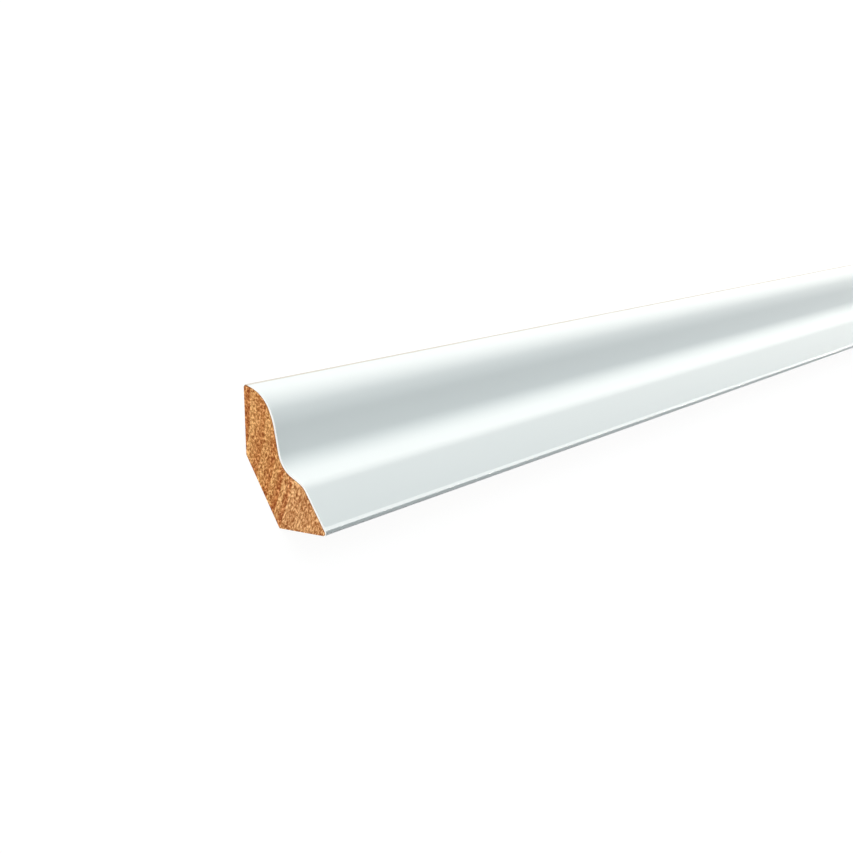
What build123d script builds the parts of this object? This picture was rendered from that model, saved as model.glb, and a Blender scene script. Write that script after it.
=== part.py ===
from build123d import *
import os
from math import atan2, degrees, radians, tan

# A small corner skirting moulding: one strip of softwood with a white coat on its moulded face.
# Its section is drawn as fitted, the wall at the left and the floor below: first the distance
# out from the wall, then the height above the floor. All sizes are in millimetres and degrees.

# Strip with its coat. Depth and height run to the sharp corners, which the roundings then cut back
board_length = 2400.0
corner_depth = 25.4
corner_height = 35.18
coat_thickness = 0.5

# The coat is thinner on the sloping top, where it runs out towards the wall
coat_on_top = 0.25

# Back bevel, which takes off the corner between the wall and the floor
bevel_depth = 10.0
bevel_height = 17.3

# Corners of the finished face before rounding, from the top down.
# Crown and brow make the round top, the cove is its hollow foot, the nose tops the sloping fascia.
crown_depth = 6.95
crown_drop = 2.29
brow_depth = 9.5
brow_drop = 8.83
cove_depth = 11.5
cove_height = 15.35
nose_setback = 7.2
nose_height = 11.7

# Radii of the finished face: the arris on the wall, the four corners, and the tip on the floor
arris_radius = 0.85
crown_radius = 10.0
brow_radius = 19.7
cove_radius = 7.1
nose_radius = 5.6
tip_radius = 0.94

# The arris and the tip are rounded more on the coat than on the timber, by this share of the
# coat's thickness there, so that the coat thins out towards the wall and the floor
thinning_share = 0.55

# Share of a run that the roundings at its two ends may take up together
rounding_room = 0.95

wall_corner = Vector(0, corner_height)
floor_corner = Vector(corner_depth, 0)
face_corners = [
    wall_corner,
    Vector(crown_depth, corner_height - crown_drop),
    Vector(brow_depth, corner_height - brow_drop),
    Vector(cove_depth, cove_height),
    Vector(corner_depth - nose_setback, nose_height),
    floor_corner,
]
bevel_on_wall = Vector(0, bevel_height)
bevel_on_floor = Vector(bevel_depth, 0)


def moved_inwards(run, distance):
    """Return a run of the face, moved into the timber at right angles to itself."""
    start, end = run
    inwards = (end - start).normalized().rotate(Axis.Z, -90)
    return start + inwards * distance, end + inwards * distance


def meeting_point(first, second):
    """Return the point where two lines meet, each given by two points on it."""
    along_first = first[1] - first[0]
    along_second = second[1] - second[0]
    share = (second[0] - first[0]).cross(along_second).Z / along_first.cross(along_second).Z
    return first[0] + along_first * share


def radii_with_room(corners, radii):
    """Return the radii, less where a run is too short for the roundings at its two ends."""
    runs = [end - start for start, end in zip(corners, corners[1:])]
    turns = [radians(before.get_angle(after)) for before, after in zip(runs, runs[1:])]
    taken = [0.0] + [radius * tan(turn / 2) for radius, turn in zip(radii, turns)] + [0.0]
    room = [
        min(1.0, rounding_room * run.length / (first + second))
        for run, first, second in zip(runs, taken, taken[1:])
    ]
    return [radius * min(before, after) for radius, before, after in zip(radii, room, room[1:])]


def section_within(inset, inset_on_top):
    """Return the section with its face moved in, from the wall round the face to the bevel.

    The sloping top has an inset of its own. The wall, the floor and the bevel stay where they are.
    """
    runs = list(zip(face_corners, face_corners[1:]))
    insets = [inset_on_top] + [inset] * (len(runs) - 1)
    face = [moved_inwards(run, distance) for run, distance in zip(runs, insets)]
    lines = [(bevel_on_wall, wall_corner), *face, (floor_corner, bevel_on_floor)]
    corners = [meeting_point(first, second) for first, second in zip(lines, lines[1:])]
    radii = [
        arris_radius - inset_on_top * thinning_share,
        crown_radius - inset,
        brow_radius - inset,
        cove_radius + inset,
        nose_radius - inset,
        tip_radius - inset * thinning_share,
    ]
    corners = [bevel_on_wall, *corners, bevel_on_floor]
    outline = FilletPolyline(*corners, radius=radii_with_room(corners, radii))
    bevel = Line(bevel_on_floor, bevel_on_wall)
    return make_face(outline.edges() + bevel.edges())


def fitted_strip(section):
    """Return a section drawn out to the board's length, with the wall at +Y."""
    far_end = Plane(origin=(board_length / 2, 0, 0), x_dir=(0, -1, 0), z_dir=(-1, 0, 0))
    return extrude(far_end * section, amount=board_length)


def lying_on_bevel(strips):
    """Return the strips tipped back until the bevel is level, centred on their common base."""
    bevel_angle = atan2(bevel_height, bevel_depth)
    tipped = [Rot(X=-degrees(bevel_angle)) * strip for strip in strips]
    box = Compound(tipped).bounding_box()
    centre = box.center()
    return [Pos(-centre.X, -centre.Y, -box.min.Z) * strip for strip in tipped]


timber = section_within(coat_thickness, coat_on_top)
coat = section_within(0, 0) - timber
pine_strip, white_coat = lying_on_bevel([fitted_strip(timber), fitted_strip(coat)])

os.makedirs("parts", exist_ok=True)
export_step(pine_strip, "parts/pine_strip.step")
export_step(white_coat, "parts/white_coat.step")
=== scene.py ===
"""A corner skirting moulding in softwood with a white coat, built and lit for its pictures.

The section is drawn as the moulding is fitted, with the wall at its back and the floor below:
depth is measured out from the wall and height up from the floor. A fitted point is
(x, -depth, height), and StoredPlace tips it back onto the bevel, where the strip is stored.
Every size is in metres.
"""

from __future__ import annotations

import logging
import random
from collections.abc import Sequence
from dataclasses import dataclass
from math import atan2, ceil, cos, pi, radians, sin, tan
from typing import Any

import bmesh
import bpy
from mathutils import Matrix, Vector
from mathutils.geometry import delaunay_2d_cdt, intersect_point_line


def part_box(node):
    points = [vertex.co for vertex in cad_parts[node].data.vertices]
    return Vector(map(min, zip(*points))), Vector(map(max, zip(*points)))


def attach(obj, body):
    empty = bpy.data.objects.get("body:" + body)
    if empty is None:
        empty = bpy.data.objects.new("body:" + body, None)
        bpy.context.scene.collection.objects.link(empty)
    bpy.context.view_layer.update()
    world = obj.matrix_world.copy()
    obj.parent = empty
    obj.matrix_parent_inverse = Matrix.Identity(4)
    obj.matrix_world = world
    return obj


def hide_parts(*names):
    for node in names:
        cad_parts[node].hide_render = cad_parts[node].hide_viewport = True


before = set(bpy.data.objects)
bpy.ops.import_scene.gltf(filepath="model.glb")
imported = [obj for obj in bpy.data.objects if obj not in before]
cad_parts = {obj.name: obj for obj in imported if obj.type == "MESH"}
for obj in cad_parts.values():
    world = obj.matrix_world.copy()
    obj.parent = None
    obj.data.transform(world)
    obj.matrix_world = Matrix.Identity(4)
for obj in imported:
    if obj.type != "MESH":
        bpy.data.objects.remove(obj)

log = logging.getLogger("skirting")
MM = 0.001
MERGE_DISTANCE = 1e-6

Colour = tuple[float, float, float, float]
Socket = bpy.types.NodeSocket
Outline = list[Vector]

BLACK: Colour = (0.0, 0.0, 0.0, 1.0)
WHITE: Colour = (1.0, 1.0, 1.0, 1.0)


def paint(red: int, green: int, blue: int) -> Colour:
    """Return the scene colour of a paint given in display values.

    Args:
        red: Red, from 0 to 255.
        green: Green, from 0 to 255.
        blue: Blue, from 0 to 255.

    Returns:
        The colour as Blender's sockets take it, with an alpha of 1.
    """
    toe_end, toe_slope, offset, gamma = 0.04045, 12.92, 0.055, 2.4
    shares = [value / 255 for value in (red, green, blue)]
    linear = [
        share / toe_slope if share <= toe_end else ((share + offset) / (1 + offset)) ** gamma
        for share in shares
    ]
    return linear[0], linear[1], linear[2], 1.0


@dataclass(frozen=True)
class SectionSizes:
    """Sizes of the moulded section, as the solids have them."""

    corner_depth: float = 25.4 * MM
    corner_height: float = 35.18 * MM
    coat_thickness: float = 0.5 * MM
    coat_on_top: float = 0.25 * MM
    bevel_depth: float = 10.0 * MM
    bevel_height: float = 17.3 * MM
    crown_depth: float = 6.95 * MM
    crown_drop: float = 2.29 * MM
    brow_depth: float = 9.5 * MM
    brow_drop: float = 8.83 * MM
    cove_depth: float = 11.5 * MM
    cove_height: float = 15.35 * MM
    nose_setback: float = 7.2 * MM
    nose_height: float = 11.7 * MM
    arris_radius: float = 0.85 * MM
    crown_radius: float = 10.0 * MM
    brow_radius: float = 19.7 * MM
    cove_radius: float = 7.1 * MM
    nose_radius: float = 5.6 * MM
    tip_radius: float = 0.94 * MM
    thinning_share: float = 0.55
    bevel_arris_radius: float = 0.3 * MM


@dataclass(frozen=True)
class Section:
    """The outlines of the timber and of its coat, as the moulding is fitted."""

    size: SectionSizes
    longest_chord: float = 0.45 * MM
    widest_turn: float = radians(7)

    def face_corners(self) -> Outline:
        """Return the corners of the finished face before rounding.

        Returns:
            The corners, from the wall to the floor.
        """
        size = self.size
        return [
            Vector((0.0, size.corner_height)),
            Vector((size.crown_depth, size.corner_height - size.crown_drop)),
            Vector((size.brow_depth, size.corner_height - size.brow_drop)),
            Vector((size.cove_depth, size.cove_height)),
            Vector((size.corner_depth - size.nose_setback, size.nose_height)),
            Vector((size.corner_depth, 0.0)),
        ]

    def bevel_corners(self) -> tuple[Vector, Vector]:
        """Return where the bevel meets the floor, and where it meets the wall."""
        return Vector((self.size.bevel_depth, 0.0)), Vector((0.0, self.size.bevel_height))

    @staticmethod
    def moved_inwards(start: Vector, end: Vector, distance: float) -> tuple[Vector, Vector]:
        """Return a run of the face, moved into the timber at right angles to itself.

        Args:
            start: The run's upper end.
            end: The run's lower end.
            distance: How far the run moves.

        Returns:
            Both ends of the moved run.
        """
        along = (end - start).normalized()
        inwards = Vector((along.y, -along.x)) * distance
        return start + inwards, end + inwards

    @staticmethod
    def meeting_point(first: tuple[Vector, Vector], second: tuple[Vector, Vector]) -> Vector:
        """Return the point where two lines meet.

        Args:
            first: Two points on the first line.
            second: Two points on the second line.

        Returns:
            The point on both lines.
        """
        along_first = first[1] - first[0]
        along_second = second[1] - second[0]
        between = second[0] - first[0]
        share = between.cross(along_second) / along_first.cross(along_second)
        return first[0] + along_first * share

    def rounding(self, before: Vector, corner: Vector, after: Vector, radius: float) -> Outline:
        """Return the arc that rounds a corner.

        Args:
            before: The corner before it.
            corner: The corner that is rounded.
            after: The corner after it.
            radius: The radius of the arc.

        Returns:
            The points of the arc, with both of its ends.
        """
        arriving = (corner - before).normalized()
        leaving = (after - corner).normalized()
        turn = arriving.angle_signed(leaving)
        start = corner - arriving * radius * tan(abs(turn) / 2)
        towards_centre = Vector((arriving.y, -arriving.x)) * (1.0 if turn > 0 else -1.0)
        centre = start + towards_centre * radius
        by_turn = abs(turn) / self.widest_turn
        by_length = abs(turn) * radius / self.longest_chord
        pieces = ceil(max(by_turn, by_length))
        spoke = start - centre
        turns = [Matrix.Rotation(-turn * step / pieces, 2) for step in range(pieces + 1)]
        return [centre + matrix @ spoke for matrix in turns]

    def face(self, inset: float, inset_on_top: float) -> Outline:
        """Return the rounded face from where it leaves the wall to where it reaches the floor.

        Args:
            inset: How far the face is moved into the timber.
            inset_on_top: How far its sloping top is moved.

        Returns:
            The points down the face.
        """
        size = self.size
        corners = self.face_corners()
        on_floor, on_wall = self.bevel_corners()
        runs = list(zip(corners, corners[1:]))
        insets = [inset_on_top] + [inset] * (len(runs) - 1)
        moved = [self.moved_inwards(*run, distance) for run, distance in zip(runs, insets)]
        lines = [(on_wall, corners[0]), *moved, (corners[-1], on_floor)]
        met = [self.meeting_point(*pair) for pair in zip(lines, lines[1:])]
        radii = [
            size.arris_radius - inset_on_top * size.thinning_share,
            size.crown_radius - inset,
            size.brow_radius - inset,
            size.cove_radius + inset,
            size.nose_radius - inset,
            size.tip_radius - inset * size.thinning_share,
        ]
        route = [on_wall, *met, on_floor]
        return [
            point
            for before, corner, after, radius in zip(route, route[1:], route[2:], radii)
            for point in self.rounding(before, corner, after, radius)
        ]

    def back(self) -> Outline:
        """Return the raw back of the timber.

        Returns:
            The points from the floor round the bevel to the wall.
        """
        on_floor, on_wall = self.bevel_corners()
        tip, top = self.face_corners()[-1], self.face_corners()[0]
        radius = self.size.bevel_arris_radius
        return [
            *self.rounding(tip, on_floor, on_wall, radius),
            *self.rounding(on_floor, on_wall, top, radius),
        ]

    def coated_edge(self) -> Outline:
        """Return the edge of the timber that lies under the coat."""
        return self.face(self.size.coat_thickness, self.size.coat_on_top)

    def timber(self) -> Outline:
        """Return the closed outline of the timber."""
        return [*self.coated_edge(), *self.back()]

    def coat(self) -> Outline:
        """Return the closed outline of the coat, out along its face and back along the timber."""
        return [*self.face(0.0, 0.0), *reversed(self.coated_edge())]


class StoredPlace:
    """Tips what is built as fitted back onto its bevel, centred on the part's origin."""

    def __init__(self, section: Section) -> None:
        """Work out the place from the section.

        Args:
            section: The section that is tipped back.
        """
        size = section.size
        self.tipping = Matrix.Rotation(-atan2(size.bevel_height, size.bevel_depth), 4, "X")
        points = [self.tipping @ self.fitted(0.0, point) for point in section.timber() + section.coat()]
        middle = (min(point.y for point in points) + max(point.y for point in points)) / 2
        on_floor, _ = section.bevel_corners()
        lowest = (self.tipping @ self.fitted(0.0, on_floor)).z
        self.matrix = Matrix.Translation((0.0, -middle, -lowest)) @ self.tipping
        self.out_from_wall = (self.tipping @ Vector((0.0, -1.0, 0.0))).normalized()
        self.upwards = (self.tipping @ Vector((0.0, 0.0, 1.0))).normalized()

    @staticmethod
    def fitted(x: float, point: Vector) -> Vector:
        """Return a point of the section in three dimensions, as fitted."""
        return Vector((x, -point.x, point.y))


class Graph:
    """Adds nodes to a node tree and joins them."""

    def __init__(self, tree: bpy.types.NodeTree) -> None:
        """Keep the tree.

        Args:
            tree: The tree that the nodes go into.
        """
        self.tree = tree

    def put(self, target: Socket, value: Any) -> None:
        """Join a socket to an input, or set the input's own value.

        Args:
            target: The input.
            value: The socket or the value that it takes.
        """
        if isinstance(value, bpy.types.NodeSocket):
            self.tree.links.new(value, target)
        else:
            target.default_value = value

    def add(self, kind: str, inputs: dict[Any, Any] | None = None, **settings: Any) -> bpy.types.Node:
        """Add a node.

        Args:
            kind: Blender's name for the kind of node.
            inputs: What its inputs take, by their names or by their places in the row.
            **settings: Properties of the node.

        Returns:
            The new node.
        """
        node = self.tree.nodes.new(kind)
        for name, value in settings.items():
            setattr(node, name, value)
        for key, value in (inputs or {}).items():
            self.put(node.inputs[key], value)
        return node

    def math(self, operation: str, first: Any, second: Any = 0.0, third: Any = 0.0) -> Socket:
        """Return the result of a sum on numbers.

        Args:
            operation: Blender's name for the sum.
            first: The first number.
            second: The second number.
            third: The third number, for the sums that have one.

        Returns:
            The socket with the result.
        """
        numbers = dict(enumerate((first, second, third)))
        return self.add("ShaderNodeMath", numbers, operation=operation).outputs["Value"]

    def vector_math(self, operation: str, first: Any, second: Any = (0.0, 0.0, 0.0)) -> bpy.types.Node:
        """Return a node that works on two vectors.

        Args:
            operation: Blender's name for the sum.
            first: The first vector.
            second: The second vector.

        Returns:
            The node, as some of these sums give a vector and others a number.
        """
        return self.add("ShaderNodeVectorMath", {0: first, 1: second}, operation=operation)

    def scaled(self, vector: Any, scale: Sequence[float]) -> Socket:
        """Return a vector with each of its parts multiplied by a number of its own."""
        return self.vector_math("MULTIPLY", vector, tuple(scale)).outputs["Vector"]

    def parts(self, vector: Any) -> bpy.types.NodeOutputs:
        """Return the parts of a vector, as outputs named X, Y and Z."""
        return self.add("ShaderNodeSeparateXYZ", {0: vector}).outputs

    def joined(self, **parts: Any) -> Socket:
        """Return a vector with the given parts X, Y and Z, and 0 for the others."""
        return self.add("ShaderNodeCombineXYZ", parts).outputs[0]

    def centred(self, value: Any, scale: Any) -> Socket:
        """Return a value that swings about 0.5 made to swing about 0, and scaled."""
        return self.math("MULTIPLY", self.math("SUBTRACT", value, 0.5), scale)

    def noise(
        self, vector: Any, size: float, detail: float = 2.0, roughness: float = 0.5, swirl: float = 0.0
    ) -> Socket:
        """Return smooth noise.

        Args:
            vector: Where the noise is read.
            size: The size of its largest features, in metres.
            detail: How many finer layers are added.
            roughness: How strong the finer layers are.
            swirl: How far its features are twisted.

        Returns:
            The noise, about 0.5 on average.
        """
        return self.add("ShaderNodeTexNoise", {
            "Vector": vector,
            "Scale": 1 / size,
            "Detail": detail,
            "Roughness": roughness,
            "Distortion": swirl,
        }).outputs["Fac"]

    def spread(self, value: Any, low: float, high: float, start: Any = 0.0, end: Any = 1.0) -> Socket:
        """Return a value taken from one range to another, held at its ends.

        Args:
            value: The value.
            low: The low end of its range.
            high: The high end of its range.
            start: What the low end becomes.
            end: What the high end becomes.

        Returns:
            The value in the new range.
        """
        return self.add("ShaderNodeMapRange", {
            "Value": value,
            "From Min": low,
            "From Max": high,
            "To Min": start,
            "To Max": end,
        }, clamp=True).outputs["Result"]

    def ramp(self, factor: Any, stops: Sequence[tuple[float, Colour]]) -> Socket:
        """Return a colour from a ramp.

        Args:
            factor: Where on the ramp, from 0 to 1.
            stops: The places on the ramp and their colours.

        Returns:
            The colour.
        """
        node = self.add("ShaderNodeValToRGB", {"Fac": factor})
        elements = node.color_ramp.elements
        while len(elements) < len(stops):
            elements.new(1.0)
        for element, (position, colour) in zip(elements, stops):
            element.position = position
            element.color = colour
        return node.outputs["Color"]

    def steps(self, factor: Any, starts: Sequence[float], levels: Sequence[float]) -> Socket:
        """Return a number that steps from level to level.

        Args:
            factor: The value, from 0 to 1.
            starts: Where each level starts, from 0 to 1.
            levels: The levels.

        Returns:
            The level.
        """
        stops = [(start, (level, level, level, 1.0)) for start, level in zip(starts, levels)]
        stepped = self.ramp(factor, stops)
        stepped.node.color_ramp.interpolation = "CONSTANT"
        return stepped

    def mixed(self, factor: Any, first: Any, second: Any, blend: str = "MIX") -> Socket:
        """Return two colours mixed.

        Args:
            factor: How much of the second colour is mixed in.
            first: The first colour.
            second: The second colour.
            blend: Blender's name for the way of mixing.

        Returns:
            The mixed colour.
        """
        node = self.add("ShaderNodeMix", data_type="RGBA", blend_type=blend)
        enabled = {target.name: target for target in node.inputs if target.enabled}
        for name, value in (("Factor", factor), ("A", first), ("B", second)):
            self.put(enabled[name], value)
        return next(result for result in node.outputs if result.enabled)

    def bump(self, height: Any, distance: float, strength: float, below: Socket | None = None) -> Socket:
        """Return a normal with fine relief.

        Args:
            height: The relief, from 0 to 1.
            distance: How high 1 stands, in metres.
            strength: How much of the relief is used.
            below: The normal of coarser relief that this one lies on.

        Returns:
            The normal.
        """
        inputs = {"Height": height, "Distance": distance, "Strength": strength}
        if below is not None:
            inputs["Normal"] = below
        return self.add("ShaderNodeBump", inputs).outputs["Normal"]


class Dressing:
    """What every finish shares: a new material, its node graph and its shader."""

    def __init__(self, name: str) -> None:
        """Make the material.

        Args:
            name: The material's name.
        """
        self.material = bpy.data.materials.new(name)
        self.material.use_nodes = True
        self.graph = Graph(self.material.node_tree)
        self.shader = self.material.node_tree.nodes["Principled BSDF"]
        self.position = self.graph.add("ShaderNodeTexCoord").outputs["Object"]

    def finished(self, values: dict[str, Any]) -> bpy.types.Material:
        """Set or join the shader's inputs.

        Args:
            values: What each of them takes, by its name.

        Returns:
            The finished material.
        """
        for name, value in values.items():
            self.graph.put(self.shader.inputs[name], value)
        return self.material


@dataclass(frozen=True)
class RingPlace:
    """Where among the growth rings a point lies, as sockets of a material.

    Attributes:
        radius: The distance from the pith.
        turn: The angle round the pith.
        share: 0 just outside the last ring's dark edge, up to 1 at this ring's own dark edge.
        darkness: How dark this ring's edge is, from 0 to 1.
        paleness: How pale the wood outside the last ring's edge is, from 0 to 1.
    """

    radius: Socket
    turn: Socket
    share: Socket
    darkness: Socket
    paleness: Socket


@dataclass(frozen=True)
class GrowthRings:
    """The tree's rings, which run through the whole strip.

    Each ring ends at a dark edge. The edges are given by their distances from the pith, and beside
    them how dark each one is.
    """

    pith_depth: float = -55.0 * MM
    pith_height: float = 33.6 * MM
    innermost: float = 52.5 * MM
    edges: tuple[float, ...] = (57.1 * MM, 62.0 * MM, 66.5 * MM, 70.0 * MM, 73.0 * MM, 76.5 * MM, 80.5 * MM)
    darkness: tuple[float, ...] = (1.0, 0.55, 0.7, 1.0, 0.9, 0.15, 0.1)
    edge_width: float = 0.006
    lean: tuple[float, float] = (0.007, -0.004)
    wobble: float = 0.35 * MM
    wobble_size: float = 9.0 * MM
    wobble_along: float = 0.04
    wander: float = 5.0 * MM
    wander_size: float = 0.55

    def pith(self, place: StoredPlace, near_end: float) -> Vector:
        """Return where the pith lies at the near end, as stored."""
        return place.matrix @ StoredPlace.fitted(near_end, Vector((self.pith_depth, self.pith_height)))

    def from_the_pith(self, graph: Graph, position: Socket, pith: Vector) -> list[Socket]:
        """Return how far a point lies from the pith, which leans and wanders along the strip.

        Args:
            graph: The graph that the nodes go into.
            position: The point, as stored.
            pith: Where the pith lies at the near end.

        Returns:
            The distances along Y and along Z.
        """
        part = graph.parts(graph.vector_math("SUBTRACT", position, tuple(pith)).outputs["Vector"])
        slow = graph.noise(graph.scaled(position, (1.0, 0.0, 0.0)), self.wander_size, detail=1.0)
        growing = graph.spread(part["X"], 0.0, self.wander_size)
        drift = graph.math("MULTIPLY", graph.centred(slow, self.wander * 2), growing)
        return [
            graph.math("ADD", graph.math("MULTIPLY_ADD", part["X"], lean, part[name]), drift)
            for name, lean in zip(("Y", "Z"), self.lean)
        ]

    def found(self, graph: Graph, position: Socket, pith: Vector) -> RingPlace:
        """Return where among the rings a point lies.

        Args:
            graph: The graph that the nodes go into.
            position: The point, as stored.
            pith: Where the pith lies at the near end.

        Returns:
            The point's place among the rings.
        """
        across, upright = self.from_the_pith(graph, position, pith)
        away = graph.vector_math("LENGTH", graph.joined(Y=across, Z=upright)).outputs["Value"]
        uneven = graph.noise(graph.scaled(position, (self.wobble_along, 1.0, 1.0)), self.wobble_size)
        radius = graph.math("ADD", away, graph.centred(uneven, self.wobble * 2))
        outermost = self.edges[-1]
        factor = graph.spread(radius, self.innermost, outermost)
        ends = [(edge - self.innermost) / (outermost - self.innermost) for edge in self.edges]
        starts = [0.0, *ends[:-1]]
        saw = []
        for start, end in zip(starts, ends):
            saw += [(start, BLACK), (end - self.edge_width, WHITE)]
        return RingPlace(
            radius=radius,
            turn=graph.math("ARCTAN2", upright, across),
            share=graph.ramp(factor, saw),
            darkness=graph.steps(factor, starts, self.darkness),
            paleness=graph.steps(factor, starts, [0.0, *self.darkness[:-1]]),
        )


@dataclass(frozen=True)
class SawnEndFinish:
    """Raw pine across the grain, as the saw left it."""

    rings: GrowthRings
    dark_grain: Colour = paint(130, 65, 25)
    plain_grain: Colour = paint(192, 131, 78)
    pale_grain: Colour = paint(250, 200, 140)
    middle_tone: float = 0.5
    early_tone: float = 0.16
    early_fades: tuple[float, float] = (0.05, 0.4)
    late_tone: float = -0.19
    late_grows: tuple[float, float] = (0.4, 0.8)
    late_tint: Colour = (1.03, 0.88, 0.84, 1.0)
    inner_tint: Colour = (1.02, 1.03, 0.93, 1.0)
    outer_tint: Colour = (1.05, 1.09, 1.16, 1.0)
    outer_from: float = 68.0 * MM
    outer_to: float = 74.0 * MM
    fibre_size: float = 0.54 * MM
    fibre_stretch: float = 1.5
    fibre_swirl: float = 0.6
    fibre_strength: float = 2.6
    fibre_relief: float = 0.05 * MM
    relief_strength: float = 0.5
    streak_size: float = 0.9 * MM
    streak_stretch: float = 8.0
    streak_strength: float = 0.5
    blotch_size: float = 3.0 * MM
    blotch_along: float = 0.03
    blotch_strength: float = 0.3
    coat_line: Colour = paint(138, 86, 48)
    coat_line_width: float = 0.25 * MM
    coat_line_fades: tuple[float, float] = (0.7, 1.5)
    coat_line_strength: float = 0.85
    roughness: float = 0.85
    gloss: float = 0.2

    def material(self, pith: Vector) -> bpy.types.Material:
        """Return the finish as a material.

        Args:
            pith: Where the pith lies at the near end.

        Returns:
            The material.
        """
        dressing = Dressing("pine_across_the_grain")
        graph = dressing.graph
        ring = self.rings.found(graph, dressing.position, pith)
        along_rings = self.round_the_pith(graph, ring, self.fibre_stretch)
        fibres = graph.noise(along_rings, self.fibre_size, 1.5, 0.6, self.fibre_swirl)
        late = graph.math("MULTIPLY", graph.spread(ring.share, *self.late_grows), ring.darkness)
        tone = self.tone(graph, dressing.position, ring, fibres, late)
        grain = ((0.0, self.dark_grain), (self.middle_tone, self.plain_grain), (1.0, self.pale_grain))
        colour = graph.ramp(tone, grain)
        colour = graph.mixed(late, colour, graph.mixed(1.0, colour, self.late_tint, "MULTIPLY"))
        outer = graph.spread(ring.radius, self.outer_from, self.outer_to)
        tint = graph.mixed(outer, self.inner_tint, self.outer_tint)
        colour = graph.mixed(1.0, colour, tint, "MULTIPLY")
        return dressing.finished({
            "Base Color": graph.mixed(self.under_coat(graph, fibres), colour, self.coat_line),
            "Roughness": self.roughness,
            "Specular IOR Level": self.gloss,
            "Normal": graph.bump(fibres, self.fibre_relief, self.relief_strength),
        })

    def tone(
        self, graph: Graph, position: Socket, ring: RingPlace, fibres: Socket, late: Socket
    ) -> Socket:
        """Return how pale the grain is at a point.

        Args:
            graph: The graph that the nodes go into.
            position: The point, as stored.
            ring: The point's place among the rings.
            fibres: The pattern of its fibres.
            late: How far it lies in the dark edge of its ring.

        Returns:
            The tone, from 0 for dark to 1 for pale.
        """
        streaks = graph.noise(self.round_the_pith(graph, ring, self.streak_stretch), self.streak_size, 1.0)
        blotches = graph.noise(graph.scaled(position, (self.blotch_along, 1.0, 1.0)), self.blotch_size)
        early = graph.math("MULTIPLY", graph.spread(ring.share, *self.early_fades, 1.0, 0.0), ring.paleness)
        tone = self.middle_tone
        for pattern, middle, strength in (
            (fibres, 0.5, self.fibre_strength),
            (streaks, 0.5, self.streak_strength),
            (blotches, 0.5, self.blotch_strength),
            (early, 0.0, self.early_tone),
            (late, 0.0, self.late_tone),
        ):
            tone = graph.math("MULTIPLY_ADD", graph.math("SUBTRACT", pattern, middle), strength, tone)
        return tone

    def under_coat(self, graph: Graph, fibres: Socket) -> Socket:
        """Return how much of the darker line under the coat shows, with an edge that the fibres tear.

        Args:
            graph: The graph that the nodes go into.
            fibres: The pattern of the fibres.

        Returns:
            The line's share.
        """
        to_coat = graph.add("ShaderNodeAttribute", attribute_name=SawnEnd.TO_COAT).outputs["Fac"]
        ragged = graph.math("MULTIPLY_ADD", fibres, self.coat_line_width, to_coat)
        low, high = [self.coat_line_width * share for share in self.coat_line_fades]
        return graph.spread(ragged, low, high, self.coat_line_strength, 0.0)

    def round_the_pith(self, graph: Graph, ring: RingPlace, stretch: float) -> Socket:
        """Return where a noise is read, so that its features run along the rings.

        Args:
            graph: The graph that the nodes go into.
            ring: The point's place among the rings.
            stretch: How many times longer than wide the features are.

        Returns:
            The place, in metres, squeezed along the rings.
        """
        middle_radius = (self.rings.innermost + self.rings.edges[-1]) / 2
        along = graph.math("MULTIPLY", ring.turn, middle_radius / stretch)
        return graph.joined(X=ring.radius, Y=along)


@dataclass(frozen=True)
class PlanedPineFinish:
    """Raw pine along the grain, as the planer left it."""

    rings: GrowthRings
    early: Colour = paint(231, 196, 150)
    middle: Colour = paint(222, 182, 132)
    late: Colour = paint(193, 135, 84)
    middle_at: float = 0.45
    late_from: float = 0.74
    late_until: float = 0.97
    streak_colour: Colour = paint(168, 116, 72)
    streak_width: float = 0.25 * MM
    streak_length: float = 30.0 * MM
    streak_range: tuple[float, float] = (0.55, 0.75)
    streak_share: float = 0.4
    patch_width: float = 3.0 * MM
    patch_range: tuple[float, float] = (0.3, 0.7)
    patch_share: float = 0.35
    fibre_relief: float = 0.03 * MM
    fibre_strength: float = 0.5
    knife_pitch: float = 1.8 * MM
    knife_relief: float = 0.004 * MM
    knife_strength: float = 0.6
    rough_range: tuple[float, float] = (0.3, 0.7)
    smoothest: float = 0.6
    roughest: float = 0.78
    gloss: float = 0.3

    def material(self, pith: Vector) -> bpy.types.Material:
        """Return the finish as a material.

        Args:
            pith: Where the pith lies at the near end.

        Returns:
            The material.
        """
        dressing = Dressing("pine_along_the_grain")
        graph = dressing.graph
        ring = self.rings.found(graph, dressing.position, pith)
        colour = graph.ramp(ring.share, (
            (0.0, self.early),
            (self.middle_at, self.middle),
            (self.late_from, self.late),
            (self.late_until, self.late),
        ))
        along = graph.scaled(dressing.position, (self.streak_width / self.streak_length, 1.0, 1.0))
        fibres = graph.noise(along, self.streak_width, 3.0, 0.6)
        streaks = graph.spread(fibres, *self.streak_range, 0.0, self.streak_share)
        colour = graph.mixed(streaks, colour, self.streak_colour)
        patches = graph.spread(graph.noise(along, self.patch_width), *self.patch_range, 0.0, self.patch_share)
        length = graph.parts(dressing.position)["X"]
        knife = graph.math("SINE", graph.math("MULTIPLY", length, 2 * pi / self.knife_pitch))
        coarse = graph.bump(knife, self.knife_relief, self.knife_strength)
        return dressing.finished({
            "Base Color": graph.mixed(patches, colour, self.early),
            "Roughness": graph.spread(fibres, *self.rough_range, self.smoothest, self.roughest),
            "Specular IOR Level": self.gloss,
            "Normal": graph.bump(fibres, self.fibre_relief, self.fibre_strength, coarse),
        })


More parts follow.
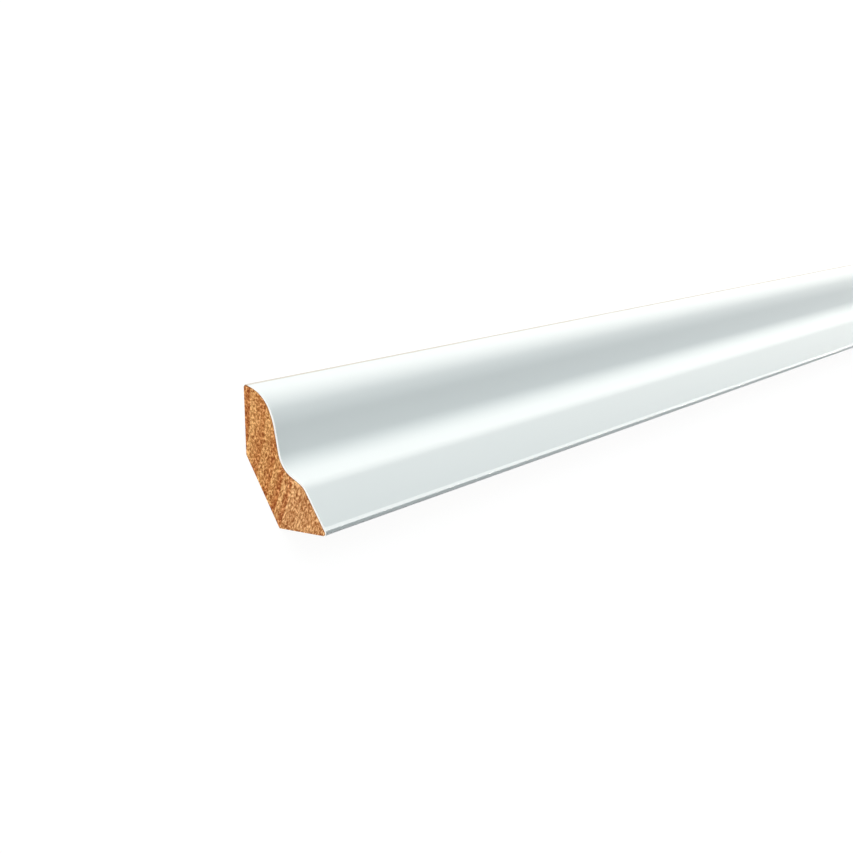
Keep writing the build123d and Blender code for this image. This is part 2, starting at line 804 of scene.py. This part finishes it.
@dataclass(frozen=True)
class CoatFinish:
    """The satin white factory coat, with a thin warm line at the back arris and a bead by the tip."""

    white: Colour = paint(247, 249, 249)
    # A darker warm tone that the coat's colour takes in a narrow, uneven band along the back arris.
    arris_line: Colour = paint(218, 208, 196)
    arris_line_until: float = 1.5 * MM
    arris_line_fade: float = 0.5 * MM
    arris_line_unevenness: float = 0.4 * MM
    unevenness_size: float = 12.0 * MM
    unevenness_across: float = 0.2
    peel_size: float = 1.6 * MM
    peel_relief: float = 0.004 * MM
    peel_strength: float = 0.5
    grain_width: float = 0.5 * MM
    grain_length: float = 25.0 * MM
    grain_strength: float = 0.3
    bead_relief: float = 0.42 * MM
    bead_starts: float = 2.1 * MM
    bead_crest: float = 1.35 * MM
    bead_ends: float = 0.9 * MM
    bead_foot: float = 0.7
    roughness: float = 0.40
    gloss: float = 0.40

    def material(self, place: StoredPlace) -> bpy.types.Material:
        """Return the finish as a material.

        Args:
            place: Where the strip is stored.

        Returns:
            The material.
        """
        dressing = Dressing("satin_white_coat")
        graph = dressing.graph
        corner = place.matrix @ Vector((0.0, 0.0, 0.0))
        from_corner = graph.vector_math("SUBTRACT", dressing.position, tuple(corner)).outputs["Vector"]
        depth, height = [
            graph.vector_math("DOT_PRODUCT", from_corner, tuple(direction)).outputs["Value"]
            for direction in (place.out_from_wall, place.upwards)
        ]
        across = self.unevenness_across
        uneven = graph.noise(graph.scaled(dressing.position, (1.0, across, across)), self.unevenness_size)
        depth = graph.math("MULTIPLY_ADD", uneven, self.arris_line_unevenness, depth)
        # Mask of that darker warm band: 1 within about 1.5 mm of the back arris, fading to 0 over a further
        # 0.5 mm.
        arris_line = graph.spread(depth, self.arris_line_until, self.arris_line_until + self.arris_line_fade, 1.0, 0.0)
        return dressing.finished({
            "Base Color": graph.mixed(arris_line, self.white, self.arris_line),
            "Roughness": self.roughness,
            "Specular IOR Level": self.gloss,
            "Normal": self.relief(graph, dressing.position, height),
        })

    def relief(self, graph: Graph, position: Socket, height: Socket) -> Socket:
        """Return the normal that brush marks, the bead and the peel give the coat.

        Args:
            graph: The graph that the nodes go into.
            position: The point, as stored.
            height: How high the point lies above the floor, as fitted.

        Returns:
            The normal.
        """
        along = graph.scaled(position, (self.grain_width / self.grain_length, 1.0, 1.0))
        grain = graph.noise(along, self.grain_width)
        above_crest = graph.spread(height, self.bead_crest, self.bead_starts, 1.0, 0.0)
        below_crest = graph.spread(height, self.bead_ends, self.bead_crest, self.bead_foot, 1.0)
        bead = graph.math("MULTIPLY", above_crest, below_crest)
        peel = graph.noise(position, self.peel_size, detail=1.0)
        normal = graph.bump(grain, self.peel_relief, self.grain_strength)
        normal = graph.bump(bead, self.bead_relief, 1.0, normal)
        return graph.bump(peel, self.peel_relief, self.peel_strength, normal)


class GeometryTree:
    """A Geometry Nodes tree with named inputs, run once on a mesh."""

    def __init__(self, name: str) -> None:
        """Start the tree with its geometry input and output.

        Args:
            name: The tree's name.
        """
        self.tree = bpy.data.node_groups.new(name, "GeometryNodeTree")
        self.graph = Graph(self.tree)
        self.inputs: dict[str, str] = {}
        for way in ("INPUT", "OUTPUT"):
            self.tree.interface.new_socket("Geometry", in_out=way, socket_type="NodeSocketGeometry")
        self.entry = self.graph.add("NodeGroupInput")
        self.exit = self.graph.add("NodeGroupOutput")

    def named_input(self, name: str, kind: str) -> Socket:
        """Add a named input.

        Args:
            name: The input's name.
            kind: Blender's name for the kind of socket.

        Returns:
            The socket that gives the input inside the tree.
        """
        made = self.tree.interface.new_socket(name, in_out="INPUT", socket_type=kind)
        self.inputs[name] = made.identifier
        return self.entry.outputs[name]

    def dressed(self, geometry: Socket, material: Socket, chosen: Any = True) -> Socket:
        """Return a geometry with a material on its chosen faces."""
        inputs = {"Geometry": geometry, "Selection": chosen, "Material": material}
        return self.graph.add("GeometryNodeSetMaterial", inputs).outputs[0]

    def end(self, geometry: Socket, material: Socket, chosen: Any = True) -> None:
        """Realize the instances, dress the result and give it out.

        Args:
            geometry: The finished geometry.
            material: The material that its chosen faces get.
            chosen: Which faces are chosen.
        """
        realized = self.graph.add("GeometryNodeRealizeInstances", {"Geometry": geometry}).outputs[0]
        self.graph.put(self.exit.inputs["Geometry"], self.dressed(realized, material, chosen))

    def run(self, piece: bpy.types.Object, values: dict[str, Any]) -> None:
        """Run the tree on a piece and leave the plain mesh in its place.

        Args:
            piece: The piece whose mesh is the tree's geometry.
            values: What each named input is set to.
        """
        modifier = piece.modifiers.new(self.tree.name, "NODES")
        modifier.node_group = self.tree
        for name, value in values.items():
            modifier[self.inputs[name]] = value
        depsgraph = bpy.context.evaluated_depsgraph_get()
        made = bpy.data.meshes.new_from_object(
            piece.evaluated_get(depsgraph), preserve_all_data_layers=True, depsgraph=depsgraph
        )
        piece.modifiers.remove(modifier)
        piece.data = made


class MouldingRun(GeometryTree):
    """Draws a closed outline out along the strip, in stations of equal length."""

    def __init__(self) -> None:
        """Build the tree."""
        super().__init__("moulding_run")
        graph = self.graph
        start = self.named_input("Near end", "NodeSocketFloat")
        end = self.named_input("Far end", "NodeSocketFloat")
        stations = self.named_input("Stations", "NodeSocketInt")
        material = self.named_input("Finish", "NodeSocketMaterial")
        points = {"Start": graph.joined(X=start), "End": graph.joined(X=end)}
        line = graph.add("GeometryNodeCurvePrimitiveLine", points, mode="POINTS").outputs[0]
        cut_up = graph.add("GeometryNodeResampleCurve", {"Curve": line, "Count": stations}, mode="COUNT")
        level = graph.add("GeometryNodeSetCurveNormal", {"Curve": cut_up.outputs[0]}, mode="Z_UP")
        outline = graph.add("GeometryNodeMeshToCurve", {"Mesh": self.entry.outputs["Geometry"]})
        ends = {"Curve": level.outputs[0], "Profile Curve": outline.outputs[0]}
        self.end(graph.add("GeometryNodeCurveToMesh", ends).outputs[0], material)


class SawnRelief(GeometryTree):
    """Raises and sinks the fibres of a sawn end, and gives the end its own finish."""

    def __init__(self) -> None:
        """Build the tree."""
        super().__init__("sawn_relief")
        graph = self.graph
        height = self.named_input("Relief", "NodeSocketFloat")
        scale = self.named_input("Fibres per metre", "NodeSocketFloat")
        seed = self.named_input("Seed", "NodeSocketFloat")
        sides = self.named_input("Side finish", "NodeSocketMaterial")
        ends = self.named_input("End finish", "NodeSocketMaterial")
        loose = graph.add("GeometryNodeInputNamedAttribute", {"Name": SawnEnd.LOOSE}, data_type="FLOAT")
        place = graph.add("GeometryNodeInputPosition").outputs[0]
        fibres = graph.add("ShaderNodeTexNoise", {
            "Vector": graph.scaled(place, (SawnEnd.SQUEEZE_ALONG, 1.0, 1.0)),
            "Scale": scale,
            "W": seed,
        }, noise_dimensions="4D").outputs["Fac"]
        depth = graph.math("MULTIPLY", graph.centred(fibres, height), loose.outputs["Attribute"])
        moved = graph.add("GeometryNodeSetPosition", {
            "Geometry": self.entry.outputs["Geometry"],
            "Offset": graph.joined(X=depth),
        }).outputs[0]
        facing = graph.parts(graph.add("GeometryNodeInputNormal").outputs[0])["X"]
        at_end = graph.add("FunctionNodeCompare", {
            "A": graph.math("ABSOLUTE", facing),
            "B": SawnEnd.FACING_SHARE,
        }, data_type="FLOAT", operation="GREATER_THAN").outputs["Result"]
        self.end(self.dressed(moved, sides), ends, at_end)


def triangles_within(outline: Outline, inner: Outline) -> tuple[Outline, list[Sequence[int]]]:
    """Fill a closed outline with triangles.

    Args:
        outline: The outline, whose points stay as they are.
        inner: Further points within it.

    Returns:
        The points and the triangles.
    """
    rim = [list(range(len(outline)))]
    inside_only = 1
    made = delaunay_2d_cdt([*outline, *inner], [], rim, inside_only, MERGE_DISTANCE / 10)
    return made[0], made[2]


@dataclass(frozen=True)
class SawnEnd:
    """A sawn end, filled with small triangles whose points can rise and sink."""

    TO_COAT = "to_coat"
    LOOSE = "loose"
    FACING_SHARE = 0.6
    SQUEEZE_ALONG = 0.03

    pitch: float = 0.23 * MM
    jitter: float = 0.3
    first_row: float = 0.12 * MM
    clear: float = 0.22 * MM
    seed: int = 5
    relief: float = 0.05 * MM
    relief_size: float = 0.6 * MM
    relief_seed: float = 3.0

    @staticmethod
    def distance_to(point: Vector, route: Outline, closed: bool) -> float:
        """Return how far a point lies from a route.

        Args:
            point: The point.
            route: The route's points.
            closed: Whether the route runs back to its start.

        Returns:
            The distance.
        """
        ends = route[1:] + route[:1] if closed else route[1:]
        nearest = float("inf")
        for start, end in zip(route, ends):
            if (end - start).length < MERGE_DISTANCE:
                continue
            foot, share = intersect_point_line(point, start, end)
            if share < 0:
                foot = start.to_3d()
            elif share > 1:
                foot = end.to_3d()
            nearest = min(nearest, (point - foot.to_2d()).length)
        return nearest

    @staticmethod
    def holds(outline: Outline, point: Vector) -> bool:
        """Tell whether a point lies within a closed outline.

        Args:
            outline: The outline.
            point: The point.

        Returns:
            True where it does.
        """
        inside = False
        for start, end in zip(outline, outline[1:] + outline[:1]):
            if (start.y > point.y) != (end.y > point.y):
                crossing = start.x + (point.y - start.y) * (end.x - start.x) / (end.y - start.y)
                inside ^= point.x < crossing
        return inside

    def first_row_points(self, outline: Outline) -> Outline:
        """Return a row of points just within a closed outline.

        Args:
            outline: The outline.

        Returns:
            One point for each of the outline's own.
        """
        row = []
        for before, point, after in zip(outline[-1:] + outline[:-1], outline, outline[1:] + outline[:1]):
            along = (after - before).normalized()
            row.append(point + Vector((along.y, -along.x)) * self.first_row)
        return row

    def inner_points(self, outline: Outline) -> Outline:
        """Return points spread unevenly within a closed outline.

        Args:
            outline: The outline.

        Returns:
            The points, all clear of the outline.
        """
        chance = random.Random(self.seed)
        low = Vector((min(point.x for point in outline), min(point.y for point in outline)))
        high = Vector((max(point.x for point in outline), max(point.y for point in outline)))
        rows = ceil((high.y - low.y) / self.pitch)
        columns = ceil((high.x - low.x) / self.pitch)
        points = []
        for row in range(rows):
            for column in range(columns):
                shift = Vector((chance.uniform(-1, 1), chance.uniform(-1, 1))) * self.jitter
                stagger = Vector((0.5 * (row % 2), 0.0))
                point = low + (Vector((column, row)) + stagger + shift) * self.pitch
                if self.holds(outline, point) and self.distance_to(point, outline, True) > self.clear:
                    points.append(point)
        return points

    def filled(self, outline: Outline) -> tuple[Outline, list[Sequence[int]]]:
        """Fill a closed outline with small triangles, and return the points and the triangles."""
        return triangles_within(outline, [*self.first_row_points(outline), *self.inner_points(outline)])


@dataclass(frozen=True)
class Strip:
    """The whole moulding: the pine strip and the white coat on its face."""

    section: Section
    place: StoredPlace
    near_end: float
    far_end: float
    station_length: float = 50 * MM
    sharpest_smooth: float = radians(35)

    def run_of(self, name: str, outline: Outline, finish: bpy.types.Material) -> bpy.types.Object:
        """Draw an outline out along the strip, with open ends.

        Args:
            name: The piece's name.
            outline: The closed outline, as fitted.
            finish: The material of its sides.

        Returns:
            The piece.
        """
        mesh = bpy.data.meshes.new(name)
        count = len(outline)
        edges = [(index, (index + 1) % count) for index in range(count)]
        mesh.from_pydata([(point.x, -point.y, 0.0) for point in outline], edges, [])
        piece = bpy.data.objects.new(name, mesh)
        bpy.context.scene.collection.objects.link(piece)
        stations = round((self.far_end - self.near_end) / self.station_length) + 1
        MouldingRun().run(piece, {
            "Near end": self.near_end,
            "Far end": self.far_end,
            "Stations": stations,
            "Finish": finish,
        })
        return piece

    def closed(self, piece: bpy.types.Object, points: Outline, triangles: list[Sequence[int]]) -> None:
        """Close both ends of a run.

        Args:
            piece: The run, with open ends.
            points: The points of an end, as fitted.
            triangles: The triangles of an end.
        """
        mesh = bmesh.new()
        mesh.from_mesh(piece.data)
        for x in (self.near_end, self.far_end):
            made = [mesh.verts.new(StoredPlace.fitted(x, point)) for point in points]
            for triangle in triangles:
                mesh.faces.new([made[index] for index in triangle])
        bmesh.ops.remove_doubles(mesh, verts=mesh.verts[:], dist=MERGE_DISTANCE)
        bmesh.ops.recalc_face_normals(mesh, faces=mesh.faces[:])
        mesh.to_mesh(piece.data)
        mesh.free()

    def finish_piece(self, piece: bpy.types.Object, node: str) -> None:
        """Put a finished piece where it is stored and tie it to the frame.

        Args:
            piece: The piece, as fitted.
            node: The solid that it stands for.
        """
        piece.data.transform(self.place.matrix)
        piece.data.shade_smooth()
        piece.data.set_sharp_from_angle(angle=self.sharpest_smooth)
        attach(piece, "root")
        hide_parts(node)
        log.info("%s: %d faces, for %s", piece.name, len(piece.data.polygons), node)

    def timber(self, rings: GrowthRings) -> bpy.types.Object:
        """Build the pine strip.

        Args:
            rings: The growth rings that run through it.

        Returns:
            The piece.
        """
        outline = self.section.timber()
        pith = rings.pith(self.place, self.near_end)
        side = PlanedPineFinish(rings).material(pith)
        across = SawnEndFinish(rings).material(pith)
        piece = self.run_of("pine_strip_dressed", outline, side)
        sawn = SawnEnd()
        self.closed(piece, *sawn.filled(outline))
        self.note_distances(piece, outline, sawn)
        SawnRelief().run(piece, {
            "Relief": sawn.relief,
            "Fibres per metre": 1 / sawn.relief_size,
            "Seed": sawn.relief_seed,
            "Side finish": side,
            "End finish": across,
        })
        self.finish_piece(piece, "pine_strip")
        return piece

    def note_distances(self, piece: bpy.types.Object, outline: Outline, sawn: SawnEnd) -> None:
        """Note on the points of the ends how far they lie from the coat and from the outline.

        Args:
            piece: The pine strip, as fitted.
            outline: Its closed outline.
            sawn: How the sawn ends are filled.
        """
        coated = self.section.coated_edge()
        to_coat = piece.data.attributes.new(sawn.TO_COAT, "FLOAT", "POINT")
        loose = piece.data.attributes.new(sawn.LOOSE, "FLOAT", "POINT")
        for vertex in piece.data.vertices:
            at_end = min(abs(vertex.co.x - self.near_end), abs(vertex.co.x - self.far_end)) < MERGE_DISTANCE
            if not at_end:
                continue
            point = Vector((-vertex.co.y, vertex.co.z))
            to_coat.data[vertex.index].value = sawn.distance_to(point, coated, False)
            edge_distance = sawn.distance_to(point, outline, True)
            loose.data[vertex.index].value = min(1.0, edge_distance / (2 * sawn.clear))

    def coat(self) -> bpy.types.Object:
        """Build the white coat.

        Returns:
            The piece.
        """
        outline = self.section.coat()
        piece = self.run_of("white_coat_dressed", outline, CoatFinish().material(self.place))
        self.closed(piece, *triangles_within(outline, []))
        self.finish_piece(piece, "white_coat")
        return piece


@dataclass(frozen=True)
class Studio:
    """A pale floor, a broad soft box over the face, a lamp for its sheen and a lamp at each end.

    An angle of the sky is measured round the strip, from straight up as fitted out from the wall.
    """

    behind: Colour = paint(205, 195, 192)
    behind_until: float = radians(-10)
    box: Colour = paint(228, 240, 242)
    box_from: float = radians(25)
    box_until: float = radians(48)
    dark_from: float = radians(80)
    sky_strength: float = 1.6
    end_lamp_strengths: tuple[float, float] = (2.62, 2.3)
    end_lamp_colour: tuple[float, float, float] = (1.0, 0.91, 0.83)
    end_lamp_spread: float = radians(1)
    sheen_lamp_strength: float = 0.78
    sheen_lamp_colour: tuple[float, float, float] = (1.0, 0.95, 0.83)
    sheen_lamp_spread: float = radians(50)
    sheen_lamp_height: float = radians(30)
    floor_radius: float = 40.0
    floor_segments: int = 96
    floor_drop: float = 0.02 * MM
    floor_glow: float = 0.95
    floor_shade: Colour = (0.12, 0.12, 0.12, 1.0)
    floor_bounce: Colour = (0.82, 0.83, 0.85, 1.0)

    @staticmethod
    def seen_directly(graph: Graph) -> Socket:
        """Tell rays that show a surface itself from those that carry its light.

        Args:
            graph: The graph that the nodes go into.

        Returns:
            1 for rays that show it, and 0 for the others.
        """
        path = graph.add("ShaderNodeLightPath")
        seen = graph.math("MAXIMUM", path.outputs["Is Camera Ray"], path.outputs["Is Glossy Ray"])
        return graph.math("MAXIMUM", seen, path.outputs["Is Transmission Ray"])

    def sky(self, place: StoredPlace) -> None:
        """Light the strip by a soft box that runs along it, and show plain white behind it.

        Args:
            place: Where the strip is stored.
        """
        world = bpy.data.worlds.new("studio")
        bpy.context.scene.world = world
        world.use_nodes = True
        graph = Graph(world.node_tree)
        lit = world.node_tree.nodes["Background"]
        output = world.node_tree.nodes["World Output"]
        direction = graph.add("ShaderNodeTexCoord").outputs["Generated"]
        rise = graph.vector_math("DOT_PRODUCT", direction, tuple(place.upwards)).outputs["Value"]
        outwards = graph.vector_math("DOT_PRODUCT", direction, tuple(place.out_from_wall)).outputs["Value"]
        angle = graph.math("ARCTAN2", outwards, rise)
        edges = (
            (self.behind_until, self.behind),
            (self.box_from, self.box),
            (self.box_until, self.box),
            (self.dark_from, BLACK),
        )
        stops = [((edge + pi) / (2 * pi), colour) for edge, colour in edges]
        colour = graph.ramp(graph.spread(angle, -pi, pi), stops)
        graph.put(lit.inputs["Color"], colour)
        graph.put(lit.inputs["Strength"], self.sky_strength)
        plain = graph.add("ShaderNodeBackground", {"Color": WHITE})
        self.show(graph, lit.outputs[0], plain.outputs[0], output)

    def show(self, graph: Graph, light: Socket, seen: Socket, output: bpy.types.Node) -> None:
        """Give out one shader for the light it throws and another for what is seen of it.

        Args:
            graph: The graph that the nodes go into.
            light: The shader that throws light.
            seen: The shader that is seen.
            output: The node that gives the result out.
        """
        inputs = {0: self.seen_directly(graph), 1: light, 2: seen}
        chosen = graph.add("ShaderNodeMixShader", inputs).outputs[0]
        graph.put(output.inputs["Surface"], chosen)

    @staticmethod
    def lamp(name: str, towards: Vector, strength: float, colour: tuple[float, float, float],
             spread: float) -> None:
        """Add a lamp that is as far off as the sun.

        Args:
            name: The lamp's name.
            towards: The direction in which the lamp lies.
            strength: Its strength.
            colour: The colour of its light.
            spread: How wide it looks, as an angle.
        """
        data = bpy.data.lights.new(name, "SUN")
        data.energy = strength
        data.color = colour
        data.angle = spread
        holder = bpy.data.objects.new(name, data)
        holder.location = towards
        holder.rotation_euler = towards.to_track_quat("Z", "Y").to_euler()
        bpy.context.scene.collection.objects.link(holder)

    def lamps(self, place: StoredPlace) -> None:
        """Light both sawn ends from straight ahead, and the face's sheen from beyond the far end.

        Args:
            place: Where the strip is stored.
        """
        along = Vector((1.0, 0.0, 0.0))
        near, far = self.end_lamp_strengths
        self.lamp("near_end_lamp", -along, near, self.end_lamp_colour, self.end_lamp_spread)
        self.lamp("far_end_lamp", along, far, self.end_lamp_colour, self.end_lamp_spread)
        beyond = along * cos(self.sheen_lamp_height) + place.upwards * sin(self.sheen_lamp_height)
        self.lamp("sheen_lamp", beyond, self.sheen_lamp_strength, self.sheen_lamp_colour,
                  self.sheen_lamp_spread)

    def floor(self) -> None:
        """Lay a plain white floor that keeps the strip's soft shadow."""
        mesh = bmesh.new()
        bmesh.ops.create_circle(mesh, cap_ends=True, segments=self.floor_segments,
                               radius=self.floor_radius)
        made = bpy.data.meshes.new("floor")
        mesh.to_mesh(made)
        mesh.free()
        made.transform(Matrix.Translation((0.0, 0.0, -self.floor_drop)))
        holder = bpy.data.objects.new("floor", made)
        bpy.context.scene.collection.objects.link(holder)
        made.materials.append(self.floor_material())

    def floor_material(self) -> bpy.types.Material:
        """Return the floor's material.

        Returns:
            A white that the strip still shades a little, and a grey for the light it throws back.
        """
        material = bpy.data.materials.new("studio_floor")
        material.use_nodes = True
        material.node_tree.nodes.clear()
        graph = Graph(material.node_tree)
        glow = graph.add("ShaderNodeEmission", {"Strength": self.floor_glow})
        shaded = graph.add("ShaderNodeBsdfDiffuse", {"Color": self.floor_shade})
        white = graph.add("ShaderNodeAddShader", {0: glow.outputs[0], 1: shaded.outputs[0]})
        bounce = graph.add("ShaderNodeBsdfDiffuse", {"Color": self.floor_bounce})
        output = graph.add("ShaderNodeOutputMaterial")
        self.show(graph, bounce.outputs[0], white.outputs[0], output)
        return material


@dataclass(frozen=True)
class PhotoCamera:
    """The camera's place and turn, as worked out from the photo, with the strip as fitted."""

    before_near_end: float = 240.1 * MM
    out_from_wall: float = 221.2 * MM
    above_floor: float = 84.6 * MM
    turned_to_wall: float = radians(34.817)
    tipped_down: float = radians(10.669)
    rolled: float = radians(-0.729)
    lens: float = 56.73
    sensor: float = 36.0
    frame_shift: tuple[float, float] = (-0.00068, 0.00026)
    nearest: float = 10 * MM
    furthest: float = 200.0

    def matrix(self, strip: Strip) -> Matrix:
        """Return the camera's place and turn, as the strip is stored.

        Args:
            strip: The strip that it looks at.

        Returns:
            The camera's matrix.
        """
        ahead = Vector((
            cos(self.tipped_down) * cos(self.turned_to_wall),
            cos(self.tipped_down) * sin(self.turned_to_wall),
            -sin(self.tipped_down),
        ))
        level = ahead.cross(Vector((0.0, 0.0, 1.0))).normalized()
        upright = level.cross(ahead)
        right = level * cos(self.rolled) + upright * sin(self.rolled)
        up = right.cross(ahead)
        turn = Matrix((right, up, -ahead)).transposed().to_4x4()
        corner = Vector((strip.near_end - self.before_near_end, -self.out_from_wall, self.above_floor))
        return strip.place.matrix @ Matrix.Translation(corner) @ turn

    def set_up(self, strip: Strip) -> None:
        """Make the scene's camera.

        Args:
            strip: The strip that it looks at.
        """
        data = bpy.data.cameras.new("camera")
        data.lens = self.lens
        data.sensor_width = self.sensor
        data.shift_x, data.shift_y = self.frame_shift
        data.clip_start = self.nearest
        data.clip_end = self.furthest
        camera = bpy.data.objects.new("camera", data)
        camera.matrix_world = self.matrix(strip)
        bpy.context.scene.collection.objects.link(camera)
        bpy.context.scene.camera = camera


def main() -> None:
    """Build the strip, the studio and the camera."""
    logging.basicConfig(level=logging.INFO, format="%(name)s: %(message)s")
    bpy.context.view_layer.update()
    low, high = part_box("pine_strip")
    section = Section(SectionSizes())
    place = StoredPlace(section)
    strip = Strip(section, place, low.x, high.x)
    strip.timber(GrowthRings())
    strip.coat()
    studio = Studio()
    studio.sky(place)
    studio.lamps(place)
    studio.floor()
    PhotoCamera().set_up(strip)
    bpy.context.scene.view_settings.view_transform = "Standard"


if __name__ == "__main__":
    main()
